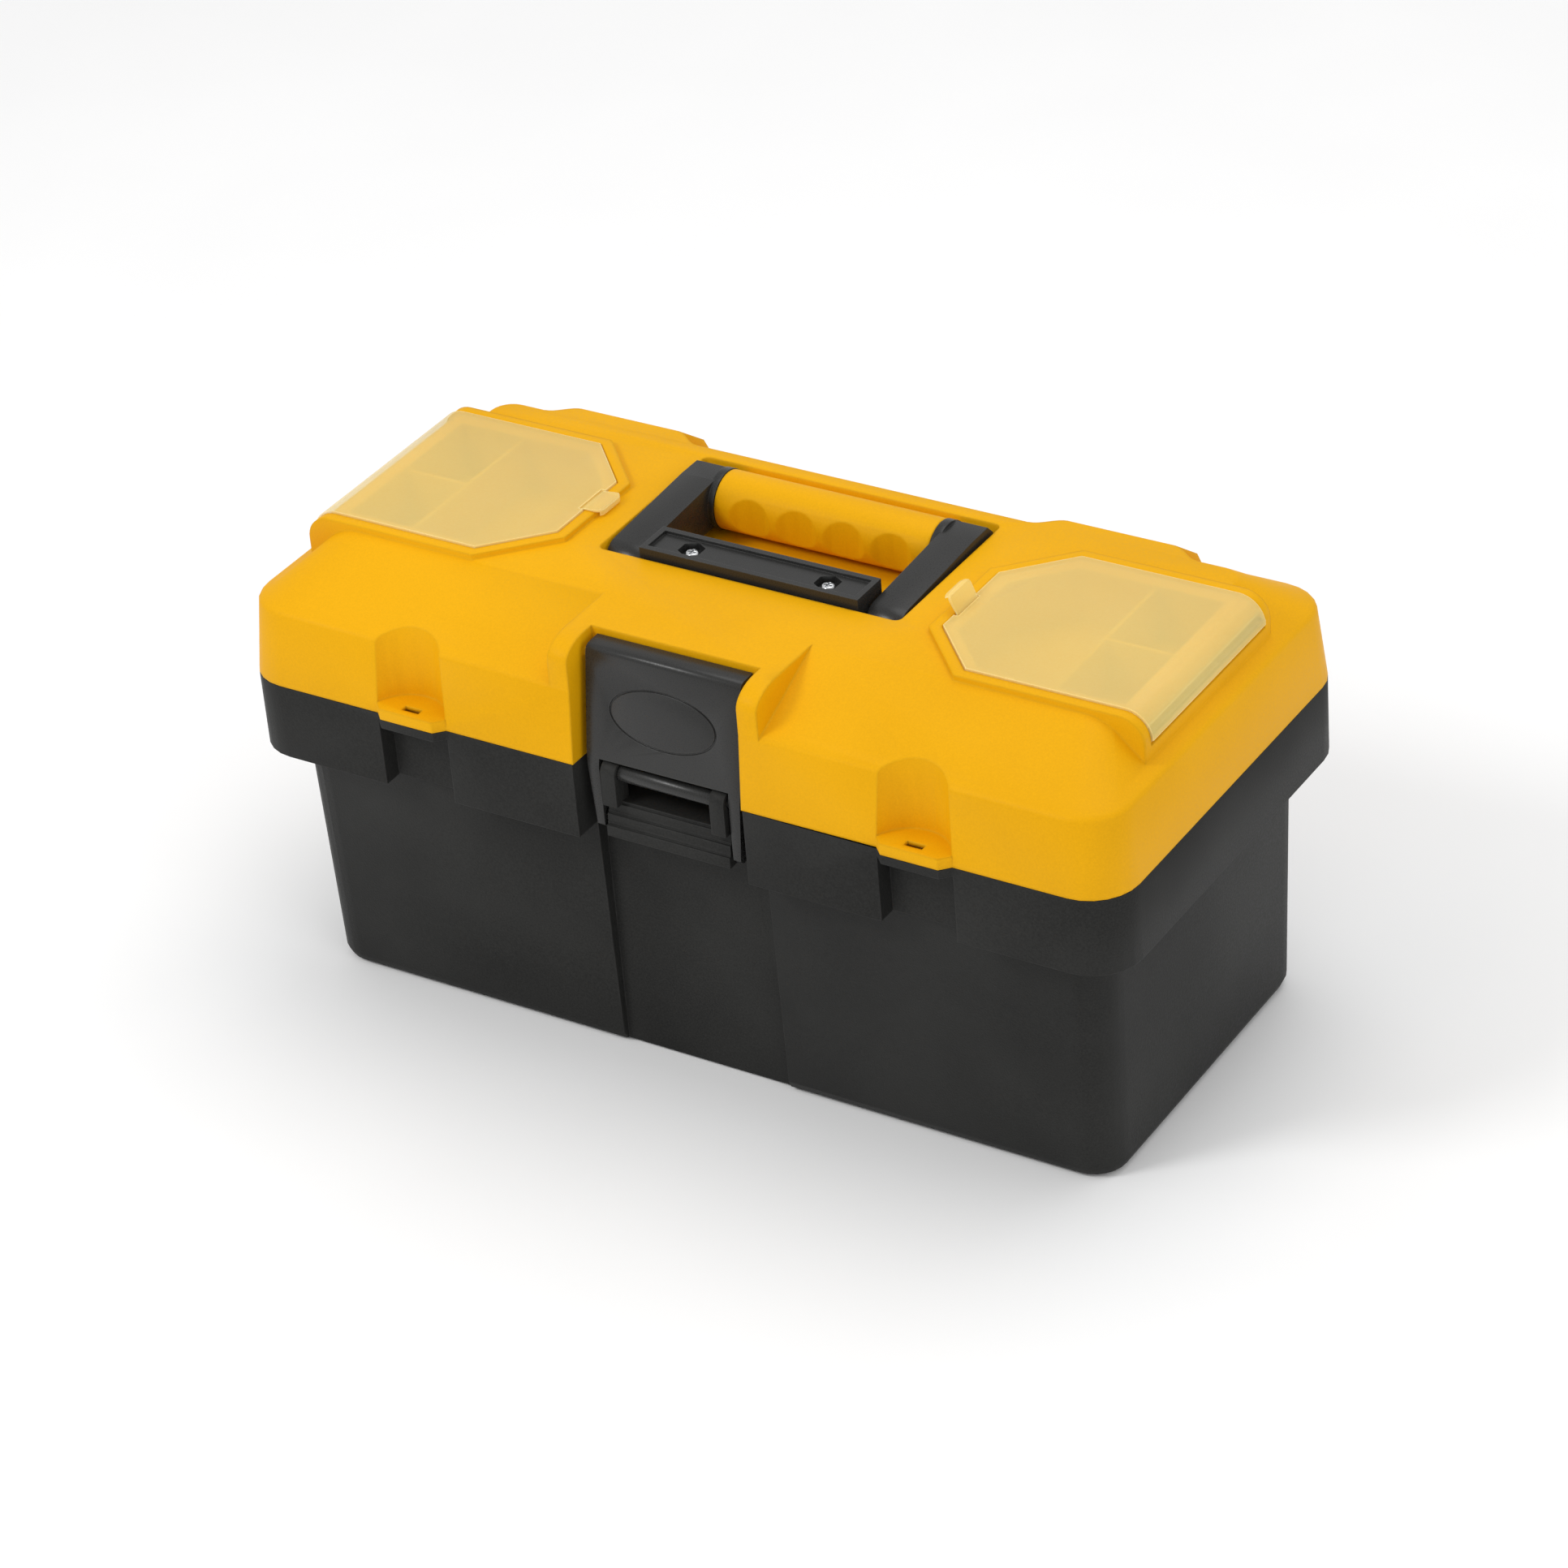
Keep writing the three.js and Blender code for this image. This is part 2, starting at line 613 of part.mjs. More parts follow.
// Half-round pockets above the padlock ears.
function earPockets(grow) {
  const radius = (earHalfWidth ** 2 + earPocketDepth ** 2) / (2 * earPocketDepth);
  const y = -(halfWidth - earPocketDepth) - radius;
  return bothSides((side) => cylinder('z', radius + grow, seam + lidEarThickness - grow, plateau + 20,
    side * earOffset, y, 48));
}

// Raised housing round the top of the latch, with a fin at each side.
function latchHousing(inset) {
  const half = bayHalfWidth + finWidth - inset;
  const front = -(lidTopHalfWidth - inset);
  const back = -(slopeHalfWidth - frontSlope - wall);
  const top = plateau - inset;
  const outline = points(
    [back, shoulderLow - 5], [front, shoulderLow - 5],
    ...Array.from({ length: 9 }, (_, step) => [
      front + finRoundDepth * (1 - Math.cos(step * Math.PI / 16)),
      top - finRoundHeight * (1 - Math.sin(step * Math.PI / 16)),
    ]),
    [back, top],
  );
  return prism('yz', outline, -half, half);
}

function lidBay(grow) {
  const half = bayHalfWidth - play + grow;
  const back = -(halfWidth - lidBayDepth) + grow;
  return box(-half, half, -width, back, seam - 2, plateau + 20);
}

// The catch: the hook slides over its round top, centred on the latch's pivot.
function latchCatch() {
  const at = (reach, round) => [latchPivot.x + reach, latchPivot.y + Math.sqrt(round ** 2 - reach ** 2)];
  const back = lidBayDepth - latchPivotInset + 1;
  const front = latchBack + latchLean + 2 * gap - latchPivot.x;
  const steps = [0, 1, 2, 3].map((step) => back + (front - back) * step / 3);
  const outline = points(...steps.map((reach) => at(reach, catchRadius)),
    ...[...steps].reverse().map((reach) => at(reach, catchRadius - catchThickness)));
  return prism('yz', outline, -bayHalfWidth, bayHalfWidth);
}

// Over each hinge the flat top reaches further back, with flared ends.
function hingeSwell(side) {
  const middle = side * hingeOffset;
  const edge = slopeHalfWidth - backSlope;
  const foot = swellHalfLength + swellFlare;
  const flare = Array.from({ length: 9 }, (_, step) => [
    foot - swellFlare * step / 8,
    edge + swellReach * (1 - Math.cos(step * Math.PI / 8)) / 2,
  ]);
  const outline = points(
    [middle - foot, edge - wall], [middle + foot, edge - wall],
    ...flare.map(([x, y]) => [middle + x, y]),
    ...[...flare].reverse().map(([x, y]) => [middle - x, y]),
  );
  const slopeDrop = (plateau - shoulderHigh) * swellReach / backSlope;
  return prism('xy', outline, plateau - slopeDrop - wall / 2, plateau);
}

// The housing from the flat top down to the hinge, with the lid's two knuckles.
function hingeBoss(side) {
  const spans = hingeSpans(side);
  const edge = slopeHalfWidth - backSlope;
  const outline = points(
    [halfWidth - bossRoot, seam + bossRoot], [halfWidth - wall / 2, seam], [hingeAxis.x, seam],
    [hingeAxis.x + knuckleRadius, seam + knuckleRadius / 2], [hingeAxis.x, seam + bossFootHeight],
    [halfWidth - bossWaistInset, plateau - bossWaistDrop],
    [halfWidth - bossShoulderInset, plateau - bossShoulderDrop],
    [edge + swellReach, plateau], [edge - wall, plateau], [edge - wall, plateau - bossShoulderInset],
  );
  const room = knuckleRoom(...spans.tub);
  const boss = cut(prism('yz', outline, spans.low, spans.high), room);
  return { room, solids: [boss, hingeSwell(side), ...spans.lid.map((ends) => knuckle(...ends))] };
}

function buildLid() {
  const pads = [organizerPad(0), mirrored(organizerPad(0))];
  let outside = join(lidShape(0), ...pads, latchHousing(0));
  for (const side of sides) {
    const { room, solids } = hingeBoss(side);
    outside = join(cut(outside, room), ...solids);
  }
  const innerPads = [organizerPad(wall), mirrored(organizerPad(wall))];
  let hollow = join(lidShape(wall), ...innerPads, latchHousing(wall));
  const grown = [organizerWells(wall), mirrored(organizerWells(wall)), handleRecess(wall), lidBay(wall),
    ...earPockets(wall)];
  hollow = cut(hollow, ...grown);
  let lid = cut(outside, hollow);
  for (const side of sides) {
    lid = join(lid, earPlate(side * earOffset, seam, seam + lidEarThickness));
    lid = cut(lid, pinBore(side));
  }
  lid = cut(lid, ...earPockets(0), lidBay(0), handleRecess(0));
  for (const flip of [(solid) => solid, mirrored]) {
    lid = cut(lid, flip(organizerWells(0)), flip(coverSeat()), flip(pinHoles()));
  }
  lid = join(lid, latchCatch(), pivotPedestal());
  return cut(lid, ...earSlots(), ...earReliefs());
}

// ---------- latch ----------
// Side view: legs, a plate that leans back and a hook that turns over the lid's catch.
function latchSide() {
  const { x: py, y: pz } = latchPivot;
  const legBack = latchBack + latchLegDepth;
  const top = pz + latchHookHeight;
  const foot = pz - latchFootDrop;
  const bend = new THREE.Vector2(latchFace + latchLean + latchThickness, top - latchThickness - gap);
  const hookRadius = catchRadius + 2 * gap;
  const hookRoot = latchBack - py + latchLean + gap;
  const under = (reach) => [py + reach, pz + Math.sqrt(hookRadius ** 2 - reach ** 2)];
  return [
    ...points([latchFace, foot + latchFootRound], [latchFace, pz + latchFootRound]),
    ...arc(bend, latchThickness, 172, 96, 5),
    ...points([py + latchHookReach, top], under(latchHookReach), under((latchHookReach + hookRoot) / 2),
      under(hookRoot), [latchBack + latchLean, pz + hookRadius - latchHookDepth],
      [latchBack + latchLegDepth / 2, pz + latchLegTop + latchLegDepth], [legBack, pz + latchLegTop],
      [legBack, foot + latchFootRound], [legBack - latchFootRound, foot], [latchFace + latchFootRound, foot]),
  ];
}

// Front view: a window between two legs that narrow towards their feet.
function latchFront() {
  const half = latchHalfWidth;
  const window = windowHalfWidth;
  const high = latchPivot.y + latchHookHeight + 5;
  const legTop = latchPivot.y + latchLegTop;
  const windowTop = latchPivot.y + latchWindowRise;
  const low = latchPivot.y - latchFootDrop - 1;
  return points(
    [-half, high], [-half, legTop], [-half + latchFootTaper, low], [-window, low], [-window, windowTop],
    [window, windowTop], [window, low], [half - latchFootTaper, low], [half, legTop], [half, high],
  );
}

// An oval line sunk into the plate's leaning face.
function latchGroove() {
  const middle = latchPivot.y + grooveRise;
  const oval = (grow) => Array.from({ length: 64 }, (_, step) => {
    const angle = step * Math.PI / 32;
    return new THREE.Vector2((grooveHalfLength + grow) * Math.cos(angle),
      middle + (grooveHalfHeight + grow) * Math.sin(angle));
  });
  const line = cut(prism('xz', oval(0), -width, 0), prism('xz', oval(-grooveWidth), -width - 1, 1));
  const leanHeight = latchHookHeight - latchThickness - latchFootRound;
  const faceAt = (z) => latchFace + latchLean * (z - latchPivot.y - latchFootRound) / leanHeight;
  const low = middle - grooveHalfHeight - 1;
  const high = middle + grooveHalfHeight + 1;
  const slab = prism('yz', points([faceAt(low) - 2, low], [faceAt(low) + grooveDepth, low],
    [faceAt(high) + grooveDepth, high], [faceAt(high) - 2, high]), -latchHalfWidth, latchHalfWidth);
  return line.intersect(slab);
}

function buildLatch() {
  const plate = prism('yz', latchSide(), -latchHalfWidth - 1, latchHalfWidth + 1)
    .intersect(prism('xz', latchFront(), -width, 0));
  const bar = (radius, half) => cylinder('x', radius, -half, half, latchPivot.x, latchPivot.y, 24);
  return join(cut(plate, latchGroove()), bar(latchJournalRadius, windowHalfWidth + 2),
    bar(latchBarRadius, bracketHalfWidth - bracketEyeWidth - gap));
}

// ---------- handle ----------
function armProfile() {
  const top = gripAxis.y + gripRadius - armTopInset;
  const bottom = gripAxis.y - gripRadius + armBottomInset;
  const back = gripAxis.x + gripRadius - armBackInset;
  return [
    ...arc(handlePivot, armEndRadius, 270, 95, 10),
    ...points([gripAxis.x - gripRadius / 2, top], [back - armCorner, top], [back, top - armCorner],
      [back, bottom + armCorner], [back - armCorner, bottom]),
  ];
}

function buildHandleFrame() {
  const core = cylinder('x', gripCoreRadius, -armInner - 1, armInner + 1, gripAxis.x, gripAxis.y, 24);
  const collar = (ends) => cylinder('x', gripRadius + gap, ...ends, gripAxis.x, gripAxis.y, 32);
  const pieces = sides.flatMap((side) => [
    prism('yz', armProfile(), ...span(side, armInner, armOuter)),
    collar(span(side, gripHalfLength + gap, armInner + 1)),
    cylinder('x', stubRadius, ...span(side, stubEnd, armInner + 1), handlePivot.x, handlePivot.y, 24),
  ]);
  return join(core, ...pieces);
}

// A tube over the handle's core, with four finger scoops in front.
function buildGrip() {
  const tube = cylinder('x', gripRadius, -gripHalfLength, gripHalfLength, gripAxis.x, gripAxis.y, 36);
  const bore = cylinder('x', gripCoreRadius + gap, -gripHalfLength - 1, gripHalfLength + 1,
    gripAxis.x, gripAxis.y, 24);
  const scoops = [-1.5, -0.5, 0.5, 1.5].map((slot) => cylinder('z', fingerScoopRadius,
    gripAxis.y - 2 * gripRadius, gripAxis.y + 2 * gripRadius,
    slot * fingerPitch, gripAxis.x - gripRadius + fingerDepth - fingerScoopRadius, 32));
  return cut(tube, bore, ...scoops);
}

function buildRetainer() {
  const slab = (inset, low, high) => box(-retainerHalfLength + inset, retainerHalfLength - inset,
    pivotY - retainerHalfWidth + inset, pivotY + retainerHalfWidth - inset, low, high);
  const plate = slab(0, retainerBottom, retainerTop);
  const panel = slab(retainerRim, retainerTop - retainerPanelDepth, retainerTop + 1);
  const sockets = bothSides((side) => join(
    cylinder('z', socketRadius, retainerTop - socketDepth, retainerTop + 1, side * screwOffset, pivotY, 6),
    cylinder('z', screwShankRadius + gap, retainerBottom - 1, retainerTop, side * screwOffset, pivotY, 16),
  ));
  return cut(plate, panel, ...sockets, ...bothSides(stubRoom));
}

function buildScrew(side) {
  const x = side * screwOffset;
  const tip = screwSeat - screwShankLength;
  const top = screwSeat + screwHeadHeight;
  const profile = points([0, tip], [screwShankRadius / 2, tip], [screwShankRadius, tip + screwShankRadius],
    [screwShankRadius, screwSeat], [screwHeadRadius, screwSeat], [screwHeadRadius, top - 1.3],
    [screwHeadRadius - 0.9, top - 0.3], [0, top]);
  const geometry = new THREE.LatheGeometry(profile, 24);
  geometry.rotateX(Math.PI / 2);
  geometry.translate(x, pivotY, 0);
  const long = screwCrossLength / 2;
  const short = screwCrossWidth / 2;
  const slot = (dx, dy) => box(x - dx, x + dx, pivotY - dy, pivotY + dy, top - 1.5, top + 1);
  return cut(solidOf(geometry), slot(long, short), slot(short, long));
}

// ---------- organizer covers and clips ----------
function buildCover() {
  const outline = coverOutline(0, coverEnd);
  const outer = rollProfile(coverTop, coverRollRadius, coverEnd, rollCentre.y);
  const inner = rollProfile(coverBottom, coverRollRadius - coverThickness,
    coverEnd - coverThickness, rollCentre.y - 5);
  const sheet = cut(prism('xz', outer, -halfWidth, halfWidth), prism('xz', inner, -halfWidth, halfWidth))
    .intersect(prism('xy', outline, rollCentre.y - 10, coverTop + 10));
  const barrel = cylinder('y', barrelRadius, -coverHalfWidth, coverHalfWidth, coverHinge.x, coverHinge.y, 24);
  const pinEnd = coverHalfWidth + coverPinReach;
  const pin = cylinder('y', coverPinRadius, -pinEnd, pinEnd, coverHinge.x, coverHinge.y, 16);
  const trimmed = cut(join(sheet, barrel), clipNotch());
  return join(trimmed, pin);
}

function clipNotch() {
  const half = clipWidth / 2 + gap;
  return box(0, coverInner + 2, -clipOffset - half, -clipOffset + half, 0, coverTop + 5);
}

// A thin tongue with a down-turned lip, lying over the raised border.
function buildClip() {
  const reach = clipHinge.x - padBorder - clipOverlap;
  const low = padTop + gap;
  const outline = [
    ...arc(clipHinge, clipBeadRadius, 270, 450, 8),
    ...points([reach, low + clipThickness], [reach - clipLipWidth, low + clipThickness / 2],
      [reach - clipLipWidth, low - clipLip], [reach, low - clipLip], [reach, low], [coverInner + 0.1, low]),
  ];
  const near = -clipOffset - clipWidth / 2;
  const far = -clipOffset + clipWidth / 2;
  const plan = roundedRectangle(reach - clipLipWidth, clipHinge.x + 6, near, far, 3, 4);
  return prism('xz', outline, near, far).intersect(prism('xy', plan, 0, coverTop + 10));
}

// ---------- tray ----------
// Room in the tray's front for the latch bay of the tub.
function trayNotch(grow) {
  const half = bayHalfWidth + wall + trayNotchRoom + grow;
  return box(-half, half, -width, pocketY + wall + trayNotchRoom + grow, -1, rimHeight + 60);
}

function buildTray() {
  const halfX = tubHalfLength - wall - trayClearance;
  const halfY = tubHalfWidth - wall - trayClearance;
  const rimInset = earNotchDepth + wall + trayRimRoom;
  const rest = ledgeTop + gap;
  const bottom = rest - trayDepth;
  const top = rest + trayFlangeThickness;
  const rim = loft([rest, top].map((z) =>
    ring(z, halfLength - rimInset, halfWidth - rimInset, trayRimCorner)));
  const body = loft([ring(bottom, halfX - trayDraft, halfY - trayDraft, trayCorner - trayDraft),
    ring(rest + 1, halfX, halfY, trayCorner)]);
  const outside = cut(join(body, rim), trayNotch(0));
  const lowInset = trayDraft + trayWall;
  const inner = loft([
    ring(bottom + trayWall, halfX - lowInset, halfY - lowInset, trayCorner - lowInset),
    ring(top + 1, halfX - trayWall, halfY - trayWall, trayCorner - trayWall),
  ]);
  const middleWall = box(-halfX, halfX, -trayWall / 2, trayWall / 2, bottom, top);
  const crossWalls = bothSides((side) => box(...span(side, (halfX - trayWall) / 2, (halfX + trayWall) / 2),
    0, halfY, bottom, top - 4));
  const hollow = cut(inner, trayNotch(trayWall), middleWall, ...crossWalls);
  return cut(outside, hollow);
}

// Upright handle with a finger gap, clipped over the tray's middle wall by a channel.
function buildTrayHandle() {
  const low = ledgeTop + gap + trayFlangeThickness;
  const half = trayHandleHalfLength;
  const high = low + trayHandleRise;
  const slotHalf = trayWall / 2 + gap;
  const footHalf = slotHalf + trayFootWall;
  const footTop = low + gap + trayFootWall;
  const plate = prism('xz', points([-half, footTop - 1], [half, footTop - 1], [half - trayHandleSlope, high],
    [-half + trayHandleSlope, high]), -trayHandleThickness / 2, trayHandleThickness / 2);
  const fingers = prism('xz', roundedRectangle(-trayGapHalfLength, trayGapHalfLength,
    footTop, high - trayHandleBar, trayGapCorner, 5), -trayHandleThickness, trayHandleThickness);
  const foot = cut(box(-half, half, -footHalf, footHalf, low - trayFootDepth, footTop),
    box(-half - 1, half + 1, -slotHalf, slotHalf, low - trayFootDepth - 1, low + gap));
  return join(cut(plate, fingers), foot);
}

// ---------- assembly ----------
addPiece('base_tub', buildTub(), blackGrain);
addPiece('lid_shell', buildLid(), amber);
addPiece('latch_plate', buildLatch(), blackSatin);
addPiece('handle_frame', buildHandleFrame(), blackSatin);
addPiece('handle_grip', buildGrip(), amber);
addPiece('handle_retainer', buildRetainer(), blackSatin);
addPiece('lift_out_tray', buildTray(), blackGrain);
addPiece('tray_handle', buildTrayHandle(), blackGrain);

function buildHingePin(side) {
  const middle = side * hingeOffset;
  const half = hingeWidth / 2 - 1;
  return cylinder('x', pinRadius, middle - half, middle + half, hingeAxis.x, hingeAxis.y, 20);
}

// The left organizer cover and its clip are the right ones turned half round.
function addCover(word, turn, clipAngle) {
  const holder = new THREE.Group();
  holder.rotation.z = turn;
  const cover = new THREE.Mesh(geometryOf(buildCover()), milky);
  cover.name = `organizer_cover_${word}`;
  const clip = new THREE.Mesh(geometryOf(buildClip()), milky);
  clip.name = `cover_clip_${word}`;
  clip.geometry.translate(-clipHinge.x, 0, -clipHinge.y);
  clip.position.set(clipHinge.x, 0, clipHinge.y);
  clip.rotation.y = THREE.MathUtils.degToRad(clipAngle);
  holder.add(cover, clip);
  toolbox.add(holder);
}

for (const [side, word] of [[1, 'right'], [-1, 'left']]) {
  addPiece(`retainer_screw_${word}`, buildScrew(side), steel);
  addPiece(`hinge_pin_${word}`, buildHingePin(side), steel);
}
addCover('right', 0, clipOpenAngle);
addCover('left', Math.PI, 0);

export default toolbox;
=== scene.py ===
"""Looks for the toolbox with tray: rounded mouldings, procedural plastics, a studio floor and lights.

Metres, +Z up, and the front faces -Y. Each piece is its CAD node's mesh with the edges rounded
over, so its shape, size and place come from the frame.
"""
import json
import math

import bmesh
import bpy
from mathutils import Matrix, Vector


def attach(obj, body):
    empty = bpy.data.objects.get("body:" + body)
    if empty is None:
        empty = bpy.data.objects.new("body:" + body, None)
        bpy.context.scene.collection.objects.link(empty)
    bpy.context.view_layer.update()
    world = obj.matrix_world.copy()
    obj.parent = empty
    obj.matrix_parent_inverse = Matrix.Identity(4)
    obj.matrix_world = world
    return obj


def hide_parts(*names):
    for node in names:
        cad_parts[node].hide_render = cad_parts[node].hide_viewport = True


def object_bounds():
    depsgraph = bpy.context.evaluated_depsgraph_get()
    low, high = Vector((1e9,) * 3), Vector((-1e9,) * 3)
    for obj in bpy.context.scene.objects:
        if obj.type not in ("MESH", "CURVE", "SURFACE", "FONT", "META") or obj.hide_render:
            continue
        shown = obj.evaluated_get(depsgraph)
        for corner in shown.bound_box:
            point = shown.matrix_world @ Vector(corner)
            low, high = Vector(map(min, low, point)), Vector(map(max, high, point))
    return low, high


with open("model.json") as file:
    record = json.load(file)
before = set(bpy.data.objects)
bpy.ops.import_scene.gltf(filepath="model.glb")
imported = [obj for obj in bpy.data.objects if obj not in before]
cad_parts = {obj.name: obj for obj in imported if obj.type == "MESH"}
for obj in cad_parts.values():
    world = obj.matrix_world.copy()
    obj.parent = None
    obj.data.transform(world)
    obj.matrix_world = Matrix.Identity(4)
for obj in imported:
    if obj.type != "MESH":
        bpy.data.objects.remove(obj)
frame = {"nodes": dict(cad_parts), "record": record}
cad_low, cad_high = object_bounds()

MM = 0.001

# Meshes
WELD_DISTANCE = 0.01 * MM
FLAT_ANGLE = math.radians(0.4)
CREASE_ANGLE = math.radians(28.0)
BEVEL_SEGMENTS = 2

# Camera, at the photograph's angle
VIEW_AZIMUTH = math.radians(33.94)
VIEW_ELEVATION = math.radians(32.38)
VIEW_ROLL = math.radians(-4.93)
VIEW_DISTANCE = 2.1177
VIEW_AIM = Vector((-0.026, 0.0308, 0.0632))
FOCAL_LENGTH = 117.67
SENSOR_WIDTH = 36.0
NEAR_CLIP = 0.05
FAR_CLIP = 50.0

# Floor and lights
FLOOR_SIZE = 6.0
FLOOR_CELLS = 8
FLOOR_GAP = 0.2 * MM
WORLD_STRENGTH = 0.68
TUB_AIM = (0.0, 0.0, 0.1)
LID_AIM = (0.0, 0.0, 0.15)

# Noise textures: the values between which a noise mostly lies, and where colours blend
NOISE_LOW = 0.35
NOISE_HIGH = 0.65
BLEND_START = 0.36
BLEND_END = 0.64

# Edges, found where a rounded normal leaves the true one: the likeness of the two normals
EDGE_LIKENESS = 0.86
FLAT_LIKENESS = 0.995
EDGE_SAMPLES = 4
SOFTENING_SAMPLES = 6

# Moulded plastic: noise scales, the width of the lighter edges (slight scuffs and painted highlight)
# in millimetres, and how gloss varies
CLOUD_SCALE = 14.0
PATCH_SCALE = 60.0
PATCH_LEAST = 0.1
PATCH_MOST = 0.8
SCUFF_AND_HIGHLIGHT_WIDTH = 0.9
SMOOTHER_BY = 0.05
ROUGHER_BY = 0.06

BODY_OF = {
    node: body
    for body, nodes in frame["record"]["behaviour"]["bodies"].items()
    for node in nodes
}


# ---------- small helpers ----------
def link(obj):
    bpy.context.scene.collection.objects.link(obj)
    return obj


def object_from(bm, name):
    mesh = bpy.data.meshes.new(name)
    bm.to_mesh(mesh)
    bm.free()
    return link(bpy.data.objects.new(name, mesh))


def cleaned(node):
    """The CAD node's mesh as a bmesh with shared corners and flat faces joined."""
    bm = bmesh.new()
    bm.from_mesh(frame["nodes"][node].data)
    bmesh.ops.remove_doubles(bm, verts=bm.verts, dist=WELD_DISTANCE)
    bmesh.ops.dissolve_limit(
        bm, angle_limit=FLAT_ANGLE, verts=bm.verts, edges=bm.edges, delimit=set()
    )
    bmesh.ops.recalc_face_normals(bm, faces=bm.faces)
    return bm


def apply_modifiers(obj):
    bpy.context.view_layer.update()
    depsgraph = bpy.context.evaluated_depsgraph_get()
    mesh = bpy.data.meshes.new_from_object(obj.evaluated_get(depsgraph))
    obj.modifiers.clear()
    obj.data = mesh


def round_edges(obj, width):
    """Rounds the creases of a mesh over by a width in millimetres."""
    bevel = obj.modifiers.new("edges", "BEVEL")
    bevel.width = width * MM
    bevel.segments = BEVEL_SEGMENTS
    bevel.limit_method = "ANGLE"
    bevel.angle_limit = CREASE_ANGLE
    bevel.use_clamp_overlap = True
    bevel.harden_normals = True
    obj.data.shade_smooth()
    apply_modifiers(obj)


def stand_in(node, material, width):
    """A copy of a CAD node, its edges rounded by a width in millimetres, that stands for the node."""
    obj = object_from(cleaned(node), f"{node}_look")
    if width:
        round_edges(obj, width)
    obj.data.materials.clear()
    obj.data.materials.append(material)
    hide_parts(node)
    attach(obj, BODY_OF[node])


# ---------- materials ----------
class Nodes:
    """A material's node tree with a Principled shader, built up in short calls."""

    def __init__(self, name):
        self.material = bpy.data.materials.new(name)
        self.material.use_nodes = True
        self.tree = self.material.node_tree
        self.shader = self.tree.nodes["Principled BSDF"]
        coordinates = self.tree.nodes.new("ShaderNodeTexCoord")
        self.where = coordinates.outputs["Object"]
        self.facing = coordinates.outputs["Normal"]

    def add(self, kind, **values):
        node = self.tree.nodes.new(kind)
        for key, value in values.items():
            setattr(node, key, value)
        return node

    def wire(self, out, into):
        self.tree.links.new(out, into)

    def combine(self, operation, one, other):
        node = self.add("ShaderNodeMath", operation=operation)
        self.wire(one, node.inputs[0])
        self.wire(other, node.inputs[1])
        return node.outputs["Value"]

    def noise(self, scale, detail=2.0, rough=0.5):
        node = self.add("ShaderNodeTexNoise")
        node.inputs["Scale"].default_value = scale
        node.inputs["Detail"].default_value = detail
        node.inputs["Roughness"].default_value = rough
        self.wire(self.where, node.inputs["Vector"])
        return node.outputs["Fac"]

    def ramp(self, value, low, high, start=NOISE_LOW, end=NOISE_HIGH):
        """Low where the value is at the start or below it, high at the end or above it."""
        node = self.add("ShaderNodeMapRange")
        node.inputs["From Min"].default_value = start
        node.inputs["From Max"].default_value = end
        node.inputs["To Min"].default_value = low
        node.inputs["To Max"].default_value = high
        self.wire(value, node.inputs["Value"])
        return node.outputs["Result"]

    def average(self, one, other):
        return self.ramp(self.combine("ADD", one, other), 0.0, 1.0, start=0.0, end=2.0)

    def colours(self, value, dark, light):
        node = self.add("ShaderNodeValToRGB")
        first, last = node.color_ramp.elements
        first.position = BLEND_START
        first.color = (*dark, 1)
        last.position = BLEND_END
        last.color = (*light, 1)
        self.wire(value, node.inputs["Fac"])
        return node.outputs["Color"]

    def tinted(self, colour, other, amount):
        """A colour turned towards another one by an amount that varies over the surface."""
        node = self.add("ShaderNodeMix", data_type="RGBA")
        # Sockets by number, because the node's number and vector sockets share these names
        factor, near, far, result = node.inputs[0], node.inputs[6], node.inputs[7], node.outputs[2]
        self.wire(amount, factor)
        self.wire(colour, near)
        far.default_value = (*other, 1)
        return result

    def edges(self, radius):
        """1 along sharp edges, within a radius in millimetres, and 0 on the flats."""
        bevel = self.add("ShaderNodeBevel", samples=EDGE_SAMPLES)
        bevel.inputs["Radius"].default_value = radius * MM
        geometry = self.add("ShaderNodeNewGeometry")
        likeness = self.add("ShaderNodeVectorMath", operation="DOT_PRODUCT")
        self.wire(bevel.outputs["Normal"], likeness.inputs[0])
        self.wire(geometry.outputs["Normal"], likeness.inputs[1])
        return self.ramp(likeness.outputs["Value"], 1.0, 0.0, EDGE_LIKENESS, FLAT_LIKENESS)

    def paint(self, colour):
        self.wire(colour, self.shader.inputs["Base Color"])

    def roughness(self, value, low, high):
        self.wire(self.ramp(value, low, high), self.shader.inputs["Roughness"])

    def bump(self, height, depth, soft_edge=0.0):
        """Relief of a depth in millimetres, over edges softened by a radius in millimetres."""
        node = self.add("ShaderNodeBump")
        node.inputs["Strength"].default_value = 1.0
        node.inputs["Distance"].default_value = depth * MM
        self.wire(height, node.inputs["Height"])
        if soft_edge:
            bevel = self.add("ShaderNodeBevel", samples=SOFTENING_SAMPLES)
            bevel.inputs["Radius"].default_value = soft_edge * MM
            self.wire(bevel.outputs["Normal"], node.inputs["Normal"])
        self.wire(node.outputs["Normal"], self.shader.inputs["Normal"])


